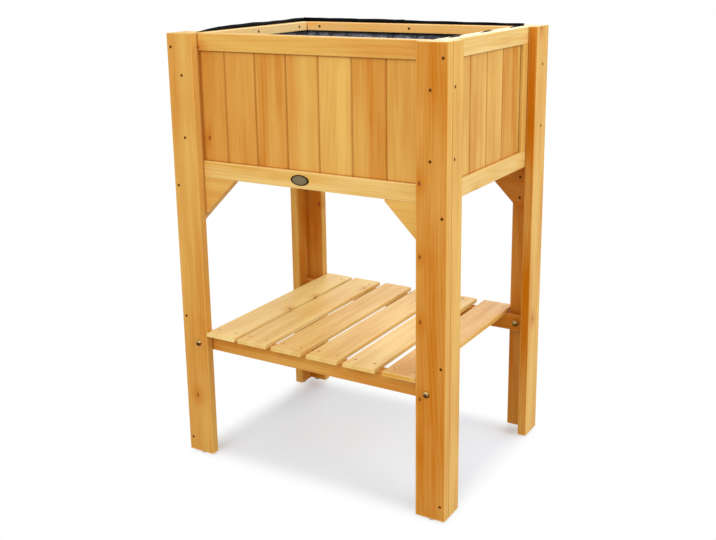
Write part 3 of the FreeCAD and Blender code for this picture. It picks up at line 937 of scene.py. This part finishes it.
@dataclass
class WoodScrews:
    """Cross-recessed wood screws with low domed heads, driven home in rows.

    Heights on a leg are above its lower end, and depths on a gusset below its top. Insets are from a board's
    outer edge or end. The recess's sizes are shares of the head's radius and dome.
    """

    radius: float = 2.8 * MM
    slat_radius: float = 3.2 * MM
    dome: float = 0.7 * MM
    sunk: float = 0.6 * MM
    columns: int = 24
    bar_half: float = 0.17
    bar_slope: float = 0.08
    bar_end: float = 0.62
    end_slope: float = 0.12
    recess: float = 0.85
    corner_heights: tuple[float, ...] = (0.026, 0.275, 0.527, 0.776)
    face_heights: tuple[float, ...] = (0.616, 0.727)
    side_heights: tuple[float, ...] = (0.618, 0.731)
    gusset_depths: tuple[float, ...] = (0.025, 0.065)
    side_batten_y: tuple[float, ...] = (-0.140, -0.005, 0.133)
    end_batten_x: tuple[float, ...] = (-0.193, 0.012, 0.197)
    edge_inset: float = 8.5 * MM
    face_inset: float = 30 * MM
    gusset_inset: float = 17 * MM
    slat_inset: float = 23.5 * MM
    slat_aside: float = 19 * MM
    # The screws' dark brown paints the shade of the holes they are sunk in.
    steel: Metal = Metal("steel_with_painted_shade", "#7E521C", "#2C1602", 0.42, 2.0, "proud")
    brass: Metal = Metal("brass_plated_steel", "#E2BE84", "#BC8A4A", 0.5, 2.0, "proud")
    seed: int = 7

    def head(self, radius: float) -> tuple[np.ndarray, list[np.ndarray], np.ndarray]:
        """One head about +Z: a dome h = d (1 - s^2), where s is the share of the radius, less a cross recess.

        The recess is a + of two bars in plan, with sloping ends.

        Args:
            radius: The head's radius.

        Returns:
            Vertices, faces and how far each vertex is out of the recess.
        """
        share = np.array([0.0, 0.16, 0.32, 0.46, 0.58, 0.72, 0.86, 0.97, 1.0, 1.0, 0.0])[:, None]
        angle = np.linspace(0, 2 * np.pi, self.columns, endpoint=False)[None, :]
        bar = np.minimum(np.abs(np.cos(angle)), np.abs(np.sin(angle))) * share
        deep = ramp_up(self.bar_half - bar, self.bar_slope) * ramp_up(self.bar_end - share, self.end_slope)
        height = self.dome * (1 - share**2) * (1 - self.recess * deep)
        height[-2:] = -self.sunk
        points, faces = turned_body(share * radius + 0 * angle, height)
        proud = np.concatenate([1 - deep[0, :1], (1 - deep[1:-1]).ravel(), [1.0]])
        return points, faces, proud

    def drive(self, name: str, rows: ScrewRows, metal: bpy.types.Material, radius: float) -> bpy.types.Object:
        """Drive a screw at each place.

        Args:
            name: The piece's name.
            rows: A point on a board's surface and the surface's direction, for each screw.
            metal: The screws' finish.
            radius: The radius of a head.

        Returns:
            The screws, as one piece.
        """
        points, faces, proud = self.head(radius)
        places, outward = np.split(np.array(rows), 2, axis=1)
        count = len(places)
        turn = np.random.default_rng(self.seed + count).uniform(0, np.pi / 2, count)
        side = np.cross(outward, np.where(np.abs(outward[:, 2:]) > 0.5, (1.0, 0, 0), (0, 0, 1.0)))
        third = np.cross(outward, side)
        cos, sin = np.cos(turn)[:, None], np.sin(turn)[:, None]
        axes = np.stack([side * cos + third * sin, third * cos - side * sin, outward], axis=-1)
        copies = np.einsum("kij,nj->kni", axes, points) + places[:, None, :]
        first = len(points) * np.arange(count)[:, None, None]
        numbers = [(first + array).reshape(-1, array.shape[1]) for array in faces]
        piece = new_piece(name, copies.reshape(-1, 3), numbers, {self.steel.relief: np.tile(proud, count)})
        paint(piece, metal)
        return piece

    def build(self) -> Pieces:
        """Drive the screws of the legs, gussets, battens and shelf.

        Returns:
            The screws, one piece for each kind of place.
        """
        steel = self.steel.material()
        dark_screw_rows = {
            "corner_screws": self.corner_rows(),
            "panel_screws": self.panel_rows(),
            "gusset_screws": self.gusset_rows(),
            "batten_screws": self.batten_rows(),
        }
        pieces = [self.drive(name, rows, steel, self.radius) for name, rows in dark_screw_rows.items()]
        brass = self.brass.material()
        return [*pieces, self.drive("slat_screws", self.slat_rows(), brass, self.slat_radius)]

    def leg_rows(
        self, board: str, facing: Axis, sx: int, sy: int, inset: float, heights: tuple[float, ...]
    ) -> ScrewRows:
        """Screws up the outer face of a leg board.

        Args:
            board: The node's name.
            facing: Y for a face board and X for a side board.
            sx: The leg's sense along X.
            sy: Its sense along Y.
            inset: How far the screws stand from the board's outer edge.
            heights: Their heights above the board's lower end.

        Returns:
            Places and directions.
        """
        x, y = end_of(board, Axis.X, sx), end_of(board, Axis.Y, sy)
        foot = end_of(board, Axis.Z, -1)
        if facing == Axis.Y:
            return [(x - sx * inset, y, foot + up, 0, sy, 0) for up in heights]
        return [(x, y - sy * inset, foot + up, sx, 0, 0) for up in heights]

    def corner_rows(self) -> ScrewRows:
        """Screws through the face boards into the side boards' edges.

        Returns:
            Places and directions.
        """
        rows = []
        for corner, senses in CORNERS.items():
            rows += self.leg_rows(f"leg_{corner}_face", Axis.Y, *senses, self.edge_inset, self.corner_heights)
        return rows

    def panel_rows(self) -> ScrewRows:
        """Screws from the leg boards into the wall panels.

        Returns:
            Places and directions.
        """
        rows = []
        for corner, senses in CORNERS.items():
            rows += self.leg_rows(f"leg_{corner}_face", Axis.Y, *senses, self.face_inset, self.face_heights)
            rows += self.leg_rows(f"leg_{corner}_side", Axis.X, *senses, self.edge_inset, self.side_heights)
        return rows

    def gusset_rows(self) -> ScrewRows:
        """Screws through the gussets, on their inner faces.

        Returns:
            Places and directions.
        """
        rows = []
        for corner, (sx, sy) in CORNERS.items():
            gusset = f"gusset_{corner}"
            x = end_of(gusset, Axis.X, sx) - sx * self.gusset_inset
            y = end_of(gusset, Axis.Y, -sy)
            top = end_of(gusset, Axis.Z, 1)
            rows += [(x, y, top - down, 0, -sy, 0) for down in self.gusset_depths]
        return rows

    def slat_rows(self) -> ScrewRows:
        """Screws near the ends of the shelf slats.

        Returns:
            Places and directions.
        """
        rows = []
        for number in SLATS:
            low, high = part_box(f"shelf_slat_{number}")
            middle = (low.x + high.x) / 2
            beside = (middle - self.slat_aside, middle + self.slat_aside)
            for y in (low.y + self.slat_inset, high.y - self.slat_inset):
                rows += [(x, y, high.z, 0, 0, 1) for x in beside]
        return rows

    def batten_rows(self) -> ScrewRows:
        """Screws through the battens, on their inner faces.

        Returns:
            Places and directions.
        """
        rows = []
        for side, sx in (("left", -1), ("right", 1)):
            low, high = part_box(f"batten_{side}")
            x = end_of(f"batten_{side}", Axis.X, -sx)
            rows += [(x, y, (low.z + high.z) / 2, -sx, 0, 0) for y in self.side_batten_y]
        for end, sy in (("front", -1), ("rear", 1)):
            low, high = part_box(f"batten_{end}")
            y = end_of(f"batten_{end}", Axis.Y, -sy)
            rows += [(x, y, (low.z + high.z) / 2, 0, -sy, 0) for x in self.end_batten_x]
        return rows


@dataclass
class OvalPlate:
    """A bare oval plate on the front bottom rail: a low domed field inside a narrow dark lip."""

    half_width: float = 18.5 * MM
    half_height: float = 9.3 * MM
    thickness: float = 1.5 * MM
    x: float = -11 * MM
    columns: int = 72
    metal: Metal = Metal("aged_brass_casting", "#A89A78", "#33270F", 0.42, 0.9, "proud")

    def build(self) -> Pieces:
        """Carry the plate's profile round, stretch it to the oval and set it on the rail.

        The profile falls a little from the middle to the field's edge, drops to the lip and ends in the rail.

        Returns:
            The plate.
        """
        share = np.array([0.0, 0.3, 0.6, 0.78, 0.82, 0.86, 0.90, 0.94, 0.975, 1.0, 1.0, 0.0])
        level = np.array([1.0, 0.99, 0.96, 0.92, 0.86, 0.64, 0.56, 0.56, 0.52, 0.4, -0.2, -0.2])
        proud = np.array([0.8, 0.76, 0.7, 0.66, 0.5, 0.12, 0.0, 0.0, 0.08, 0.1, 0.0, 0.0])
        around = np.ones((1, self.columns))
        points, faces = turned_body(share[:, None] * around, self.thickness * level[:, None] * around)
        low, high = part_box("front_panel_bottom_rail")
        across = self.x + self.half_width * points[:, 0]
        up = (low.z + high.z) / 2 + self.half_height * points[:, 1]
        placed = np.stack([across, low.y - points[:, 2], up], axis=-1)
        relief = np.concatenate([proud[:1], np.repeat(proud[1:-1], self.columns), proud[-1:]])
        plate = new_piece("oval_plate", placed, faces, {self.metal.relief: relief})
        paint(plate, self.metal.material())
        return [plate]


@dataclass(frozen=True)
class FoldedSheet:
    """The liner's grid, as arrays with a value for each point.

    A point's place on the flat sheet is u across and v along, and it lies p and q beyond the floor. Points
    can lie in a corner's second layer or on a crease. Slack is how far a point of a wall can leave it, and
    waves and pleats are the relief, from 0 to about 1.
    """

    u: np.ndarray
    v: np.ndarray
    p: np.ndarray
    q: np.ndarray
    second: np.ndarray
    crease: np.ndarray
    slack: np.ndarray
    waves: np.ndarray
    pleats: np.ndarray

    @property
    def up(self) -> np.ndarray:
        """Height above the floor."""
        return np.maximum(self.p, self.q)

    @property
    def on_floor(self) -> np.ndarray:
        """Which points lie on the floor."""
        return (self.p == 0) & (self.q == 0)


@dataclass(frozen=True)
class FilmWearAndSheen:
    """How grey the film is, partly scuffing and partly painted sheen, on the floor and more on its waves, and
    on the walls from their foot up.

    The walls grow greyer over a rise from the foot and over another one higher up, and on the pleats.
    """

    floor: float = 0.34
    floor_waves: float = 0.25
    foot: float = 0.2
    wall: float = 0.4
    wall_rise: float = 50 * MM
    pleats: float = 0.8
    high: float = 0.5
    high_from: float = 110 * MM
    high_rise: float = 60 * MM


@dataclass(frozen=True)
class Ripple:
    """A sine along a rim: its height, and its turn over half a side and start in radians."""

    height: float
    turn: float
    start: float

    def at(self, along: np.ndarray) -> np.ndarray:
        """Its height at places along the side, from -1 to 1."""
        return self.height * np.sin(self.turn * along + self.start)


@dataclass
class LinerFilm:
    """One sheet of film, folded up into the box, clamped behind the battens and trimmed above them.

    It has a floor and four walls, and each corner's square is folded in half into a flap that lies on the
    front or rear wall.
    """

    film: BlackFilm = BlackFilm()
    # Almost no sheen: the clamped film and rim render black, which under the battens paints their shadow.
    edge_film: BlackFilm = BlackFilm(name="black_polyethylene_film_edge", specular=0.05)
    worn_and_sheen: FilmWearAndSheen = FilmWearAndSheen()
    thickness: float = 0.25 * MM
    layer: float = 0.35 * MM
    rim_left: float = 0.8113
    rim_right: float = 0.8046
    rim_front: float = 0.8028
    rim_rear: float = 0.8115
    rim_left_front: float = 0.8035
    rim_rear_right: float = 0.8090
    rim_drop: float = 0.4
    left_ripple: Ripple = Ripple(0.5 * MM, 7.0, 2.0)
    right_ripple: Ripple = Ripple(2.6 * MM, 9.0, 1.2)
    clamp_z: float = 0.786
    clamp_fade: float = 14 * MM
    clamp_shade: float = 5 * MM
    foot_fade: float = 20 * MM
    flap_fade: float = 12 * MM
    edge_fade: float = 30 * MM
    trim_z: float = 0.8035
    trim_fade: float = 4 * MM
    flutter: float = 0.3 * MM
    flutter_in: tuple[float, float] = (47 * MM, 61 * MM)
    flutter_up: tuple[float, float] = (83 * MM, 71 * MM)
    wall_steps: int = 48
    floor_steps: tuple[int, int] = (140, 90)
    folds: tuple[float, ...] = (64 * MM, 53 * MM, 45 * MM, 38 * MM, 31 * MM)
    fold_turn: float = 2.4
    fold_start: float = 0.62
    fold_bend: float = 0.3
    bend_turn: float = 0.6
    fold_flat: float = 0.25
    pleat: float = 27 * MM
    pleat_uneven: float = 0.35
    uneven_turn: float = 1.3
    pleat_lean: float = 0.5
    lean_height: float = 60 * MM
    pleat_share: float = 0.22
    wall_depth: float = 11 * MM
    floor_depth: float = 11 * MM
    belly: float = 3.5 * MM
    sag: float = 2.0 * MM
    sag_width: float = 0.9

    @property
    def floor_z(self) -> float:
        """Height of the liner's floor."""
        return end_of("liner", Axis.Z, -1)

    @property
    def half(self) -> tuple[float, float]:
        """Half the liner's width and depth."""
        return end_of("liner", Axis.X, 1), end_of("liner", Axis.Y, 1)

    def crumple(self, u: np.ndarray, v: np.ndarray) -> np.ndarray:
        """Flat facets of the crumpled sheet: the mean of triangle waves across it in turned directions.

        Each is bent by a slow wave. The lowest parts are cut flat, where the film touches what lies behind.

        Args:
            u: Place across the sheet.
            v: Place along it.

        Returns:
            Heights from 0 to about 0.6.
        """
        total = 0.0
        for number, length in enumerate(self.folds):
            turn = self.fold_turn * number
            along = u * np.cos(turn) + v * np.sin(turn)
            beside = v * np.cos(turn) - u * np.sin(turn)
            bend = self.fold_bend * np.sin(self.bend_turn * beside / length)
            total = total + triangle(along / length + self.fold_start * number + bend)
        return np.clip(total / len(self.folds) - self.fold_flat, 0, None)

    def rises(self, s: np.ndarray, t: np.ndarray) -> tuple[np.ndarray, np.ndarray]:
        """How high the trimmed rim stands above the floor.

        It slopes along the rear, drops near the front end of the left wall and ripples along the sides.

        Args:
            s: Place across, from -1 to 1 over the floor.
            t: Place along, likewise.

        Returns:
            The rises of the front or rear wall and of the left or right one.
        """
        rear = self.rim_rear + (self.rim_rear_right - self.rim_rear) * np.clip((1 + s) / 2, 0, 1)
        left = self.rim_left + self.left_ripple.at(t)
        left = left + (self.rim_left_front - self.rim_left) * np.clip(1 - (1 + t) / self.rim_drop, 0, 1)
        right = self.rim_right + self.right_ripple.at(t)
        ends = np.where(t < 0, self.rim_front, rear)
        sides = np.where(s < 0, left, right)
        return ends - self.floor_z, sides - self.floor_z

    def fold(self) -> FoldedSheet:
        """Set out the sheet and its folds, on a grid of s across and t along.

        Both run from -1 to 1 over the floor and one further up each wall. In a corner both p and q are
        positive. The second layer is where p < q, and the third where p > q. A wall lies flat at its foot, at
        the clamp and under a flap.

        Returns:
            The grid.
        """
        half_x, half_y = self.half
        wall = np.linspace(0, 1, self.wall_steps + 1)[1:]
        floors = [np.linspace(-1, 1, steps + 1) for steps in self.floor_steps]
        lines = [np.concatenate([-1 - wall[::-1], floor, 1 + wall]) for floor in floors]
        s, t = np.meshgrid(*lines, indexing="ij")
        end_rise, side_rise = self.rises(s, t)
        q = np.clip(np.abs(t) - 1, 0, None) * end_rise
        p = np.clip(np.abs(s) - 1, 0, None) * np.where(q > 0, end_rise, side_rise)
        u = half_x * np.clip(s, -1, 1) + np.sign(s) * p
        v = half_y * np.clip(t, -1, 1) + np.sign(t) * q
        corner = (p > 0) & (q > 0)
        second = corner & (np.abs(s) < np.abs(t) - TINY)
        diagonal = corner & (np.abs(np.abs(s) - np.abs(t)) < TINY)
        crease = diagonal | ((np.abs(np.abs(s) - 1) < TINY) & (q > 0))
        up = np.maximum(p, q)
        free = ramp_up(up, self.foot_fade) * ramp_up(self.clamp_z - self.floor_z - up, self.clamp_fade)
        free = free * free * (3 - 2 * free)
        covered = np.clip((q - (half_x - np.abs(u))) / self.flap_fade + 1, 0, 1) * (p == 0)
        slack = free * np.where(second | crease, 0.0, 1 - covered)
        beside = np.where(q > 0, u, v) / self.pleat
        uneven = self.pleat_uneven * np.sin(self.uneven_turn * beside)
        lean = self.pleat_lean * np.sin(up / self.lean_height)
        pleats = triangle(beside + uneven + lean)
        return FoldedSheet(u, v, p, q, second, crease, slack, self.crumple(u, v), pleats)

    def place(self, sheet: FoldedSheet, side: float) -> np.ndarray:
        """One face of the folded sheet.

        Walls stand p or q high. In a corner, the point is max(p, q) high and min(p, q) from the corner along
        the front or rear wall. Depth is how far a point stands off its wall: its layer, the relief and a
        belly, and a flutter above the battens. A flap's layers are numbers 1 and 2, with their fold between.

        Args:
            sheet: The grid.
            side: 0 for the outer face, 1 for the inner.

        Returns:
            The points on the grid.
        """
        u, v, p, q = sheet.u, sheet.v, sheet.p, sheet.q
        half_x, half_y = self.half
        sx, sy = np.sign(u), np.sign(v)
        corner = (p > 0) & (q > 0)
        third = corner & ~sheet.second & ~sheet.crease
        level = np.where(third, 2.0, np.where(sheet.second, 1.0, np.where(corner, 1.5, 0.0)))
        facing = np.where(sheet.second, -1.0, np.where(sheet.crease, 0.0, 1.0))
        above = ramp_up(sheet.up + self.floor_z - self.trim_z, self.trim_fade)
        inwards = self.flutter * np.sin(2 * np.pi * (u / self.flutter_in[0] + v / self.flutter_in[1]))
        upwards = self.flutter * np.sin(2 * np.pi * (u / self.flutter_up[0] - v / self.flutter_up[1]))
        billow = self.belly * np.sin(np.pi * ramp_up(sheet.up, self.clamp_z - self.floor_z)) ** 2
        relief = self.wall_depth * (sheet.waves + self.pleat_share * sheet.pleats) + billow
        depth = self.layer * level + self.thickness * (0.5 + facing * (side - 0.5))
        depth = depth + sheet.slack * relief + above * (inwards + self.flutter)
        flat = ramp_up(np.minimum(half_x - np.abs(u), half_y - np.abs(v)), self.edge_fade)
        rest = flat * (self.floor_depth * sheet.waves - self.sag * self.in_gaps(u)) + self.thickness * side
        on_side = (p > 0) & (q == 0)
        x = sx * (np.minimum(np.abs(u), half_x) - np.minimum(p, q)) - np.where(on_side, sx * depth, 0)
        y = sy * np.minimum(np.abs(v), half_y) - np.where(q > 0, sy * depth, 0)
        z = self.floor_z + sheet.up + np.where(sheet.on_floor, rest, 0) + above * upwards
        return np.stack([x, y, z], axis=-1)

    def in_gaps(self, x: np.ndarray) -> np.ndarray:
        """How far points lie into the gaps between the floor slats: a raised cosine across each gap.

        Args:
            x: The points' places across the planter.

        Returns:
            1 in the middle of a gap, 0 over a slat.
        """
        boxes = [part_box(f"floor_slat_{number}") for number in SLATS]
        total = 0 * x
        for (_, left), (right, _) in zip(boxes, boxes[1:]):
            share = (x - (left.x + right.x) / 2) / ((right.x - left.x) / 2) / self.sag_width
            total = total + np.where(np.abs(share) < 1, np.cos(np.pi / 2 * share) ** 2, 0)
        return total

    def wear(self, sheet: FoldedSheet) -> tuple[np.ndarray, np.ndarray]:
        """How grey the film is, as scuffing and painted sheen, with a painted shadow just under the battens.

        Args:
            sheet: The grid.

        Returns:
            The grey at each point, and which points are clamped, where there is none.
        """
        worn_and_sheen = self.worn_and_sheen
        # The grey fades out just under the battens: a painted shadow below them.
        free = ramp_up(self.clamp_z - self.floor_z - sheet.up, self.clamp_shade)
        floor = worn_and_sheen.floor + worn_and_sheen.floor_waves * sheet.waves
        wall = worn_and_sheen.foot + worn_and_sheen.wall * ramp_up(sheet.up, worn_and_sheen.wall_rise)
        wall = wall + worn_and_sheen.pleats * sheet.slack * sheet.pleats
        wall = wall + worn_and_sheen.high * ramp_up(sheet.up - worn_and_sheen.high_from, worn_and_sheen.high_rise)
        return free * np.where(sheet.on_floor, floor, wall), free < 0.5

    def build(self) -> Pieces:
        """Returns:
            The film.
        """
        sheet = self.fold()
        u, v = sheet.u, sheet.v
        wear, clamped = self.wear(sheet)
        number = np.arange(u.size).reshape(u.shape)
        a, b, c, d = number[:-1, :-1], number[1:, :-1], number[1:, 1:], number[:-1, 1:]
        same = ((u[:-1, :-1] + u[1:, 1:]) * (v[:-1, :-1] + v[1:, 1:]) > 0)[..., None]
        first = np.where(same, np.stack([a, b, c], -1), np.stack([a, b, d], -1)).reshape(-1, 3)
        second = np.where(same, np.stack([a, c, d], -1), np.stack([b, c, d], -1)).reshape(-1, 3)
        inside = np.concatenate([first, second]) + u.size
        outside = np.concatenate([first, second])[:, ::-1]
        loop = np.concatenate([number[:-1, 0], number[-1, :-1], number[:0:-1, -1], number[0, :0:-1]])
        ahead = np.roll(loop, -1)
        rim = np.stack([loop, ahead, ahead + u.size, loop + u.size], -1)
        points = np.concatenate([self.place(sheet, side).reshape(-1, 3) for side in (0.0, 1.0)])
        faces = [inside, outside, rim]
        piece = new_piece("liner_film", points, faces, {self.film.wear: np.tile(wear.ravel(), 2)})
        paint(piece, self.film.material())
        piece.data.materials.append(self.edge_film.material())
        first_points = np.concatenate([array[:, 0] for array in faces])
        on_edge = np.tile(clamped.ravel(), 2)[first_points]
        piece.data.polygons.foreach_set("material_index", on_edge.astype(np.int32))
        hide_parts("liner")
        return [piece]


@dataclass(frozen=True)
class Softbox:
    """A round softbox that is aimed at the middle of the planter."""

    name: str
    place: tuple[float, float, float]
    watts: float
    size: float = 2.2
    target: tuple[float, float, float] = (0.0, 0.0, 0.45)

    def build(self) -> None:
        """Hang the lamp."""
        data = bpy.data.lights.new(self.name, "AREA")
        data.shape = "DISK"
        data.size = self.size
        data.energy = self.watts
        lamp = bpy.data.objects.new(self.name, data)
        lamp.visible_camera = False
        bpy.context.scene.collection.objects.link(lamp)
        lamp.location = self.place
        aim = Vector(self.target) - Vector(self.place)
        lamp.rotation_euler = aim.to_track_quat("-Z", "Y").to_euler()


@dataclass
class Studio:
    """A white studio: pale floor, soft light from all round, three softboxes, and the camera.

    The floor shows the planter's shadow inside its footprint, and fades to white at the footprint's edge.
    """

    position: tuple[float, float, float] = (0.9369, -1.5783, 0.9265)
    azimuth_deg: float = -31.03
    pitch_deg: float = -14.54
    roll_deg: float = -0.79
    image_px: float = 716.0
    focal_px: float = 1006.5
    axis_up_px: float = 50.0
    sensor_mm: float = 36.0
    sky: float = 0.85
    floor_colour: str = "#CBD0D5"
    paper_colour: str = "#E7EFFA"
    floor_reach: float = 9.0
    floor_z: float = -0.3 * MM
    footprint: tuple[float, float] = (0.275, 0.21)
    fade: tuple[float, float] = (-0.05, 0.02)
    least_white: float = 0.12
    lamps: tuple[Softbox, ...] = (
        Softbox("front_light", (0.35, -2.65, 2.15), 31.0),
        Softbox("right_light", (2.65, -0.25, 2.15), 31.0),
        Softbox("rear_light", (-0.69, 2.69, 2.05), 30.0),
    )

    def build(self) -> None:
        """Make the camera, the light and the floor."""
        self.camera()
        self.world()
        for lamp in self.lamps:
            lamp.build()
        self.floor()
        bpy.context.scene.view_settings.view_transform = "Standard"

    def camera(self) -> None:
        """Stand the camera where the photograph was taken from."""
        azimuth, pitch, roll = np.radians([self.azimuth_deg, self.pitch_deg, self.roll_deg])
        level = np.array([np.cos(azimuth), -np.sin(azimuth), 0.0])
        ahead = np.array([np.sin(azimuth) * np.cos(pitch), np.cos(azimuth) * np.cos(pitch), np.sin(pitch)])
        upright = np.cross(level, ahead)
        right = np.cos(roll) * level + np.sin(roll) * upright
        up = np.cos(roll) * upright - np.sin(roll) * level
        data = bpy.data.cameras.new("photo_camera")
        data.sensor_fit = "HORIZONTAL"
        data.sensor_width = self.sensor_mm
        data.lens = self.sensor_mm * self.focal_px / self.image_px
        data.shift_y = -self.axis_up_px / self.image_px
        camera = bpy.data.objects.new("photo_camera", data)
        bpy.context.scene.collection.objects.link(camera)
        axes = Matrix(np.stack([right, up, -ahead], axis=-1).tolist())
        camera.matrix_world = Matrix.Translation(Vector(self.position)) @ axes.to_4x4()
        bpy.context.scene.camera = camera

    def seen(self, node: AddNode) -> Value:
        """Tell the rays that show the background from those that light the planter.

        Args:
            node: The function that adds a node to a material or world.

        Returns:
            1 for rays from the camera, from a reflection or through glass.
        """
        path = node("LightPath").outputs
        direct = node("Math", (path["Is Camera Ray"], path["Is Glossy Ray"]), operation="MAXIMUM")
        return node("Math", (direct, path["Is Transmission Ray"]), operation="MAXIMUM")

    def world(self) -> None:
        """White where it is seen, and a soft light from all round."""
        world = bpy.data.worlds.new("white_studio")
        world.use_nodes = True
        world.node_tree.nodes.clear()
        node = partial(add, world.node_tree)
        light = node("Background", {"Color": WHITE, "Strength": self.sky})
        white = node("Background", {"Color": WHITE, "Strength": 1.0})
        mixed = node("MixShader", (self.seen(node), light, white))
        node("OutputWorld", {"Surface": mixed})
        bpy.context.scene.world = world

    def floor(self) -> None:
        """Lay a pale floor that shows white and keeps the planter's own soft shadow."""
        mesh = bpy.data.meshes.new("studio_floor")
        corners = [(sx * self.floor_reach, sy * self.floor_reach) for sx, sy in CORNERS.values()]
        mesh.from_pydata([(x, y, self.floor_z) for x, y in corners], [], [(0, 1, 3, 2)])
        floor = bpy.data.objects.new("studio_floor", mesh)
        bpy.context.scene.collection.objects.link(floor)
        material, node = new_material("white_paper_floor")
        bounce = node("BsdfDiffuse", {"Color": linear(self.floor_colour)})
        paper = node("BsdfDiffuse", {"Color": linear(self.paper_colour)})
        glow = node("Emission", {"Color": WHITE, "Strength": 1.0})
        place = node("VectorMath", (node("TexCoord").outputs["Object"],), operation="ABSOLUTE")
        beyond = node("VectorMath", (place, (*self.footprint, 0.0)), operation="SUBTRACT")
        sides = node("SeparateXYZ", (beyond,)).outputs
        away = node("Math", (sides["X"], sides["Y"]), operation="MAXIMUM")
        white = node("MapRange", (away, *self.fade, self.least_white, 1.0), interpolation_type="SMOOTHSTEP")
        backdrop = node("MixShader", (white, paper, glow))
        mixed = node("MixShader", (self.seen(node), bounce, backdrop))
        node("OutputMaterial", {"Surface": mixed})
        paint(floor, material)


def main() -> None:
    """Load the frame, build the sub-assemblies in order and log each piece's faces, then set up the studio.
    """
    logging.basicConfig(level=logging.INFO, format="%(name)s: %(message)s")
    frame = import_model()
    nodes = frame["nodes"]
    for assembly in (Woodwork(nodes), Hardware(nodes), LinerFilm(), WoodScrews(), OvalPlate()):
        for piece in assembly.build():
            LOG.info("%s: %s, %d faces", type(assembly).__name__, piece.name, len(piece.data.polygons))
    Studio().build()


if __name__ == "__main__":
    main()
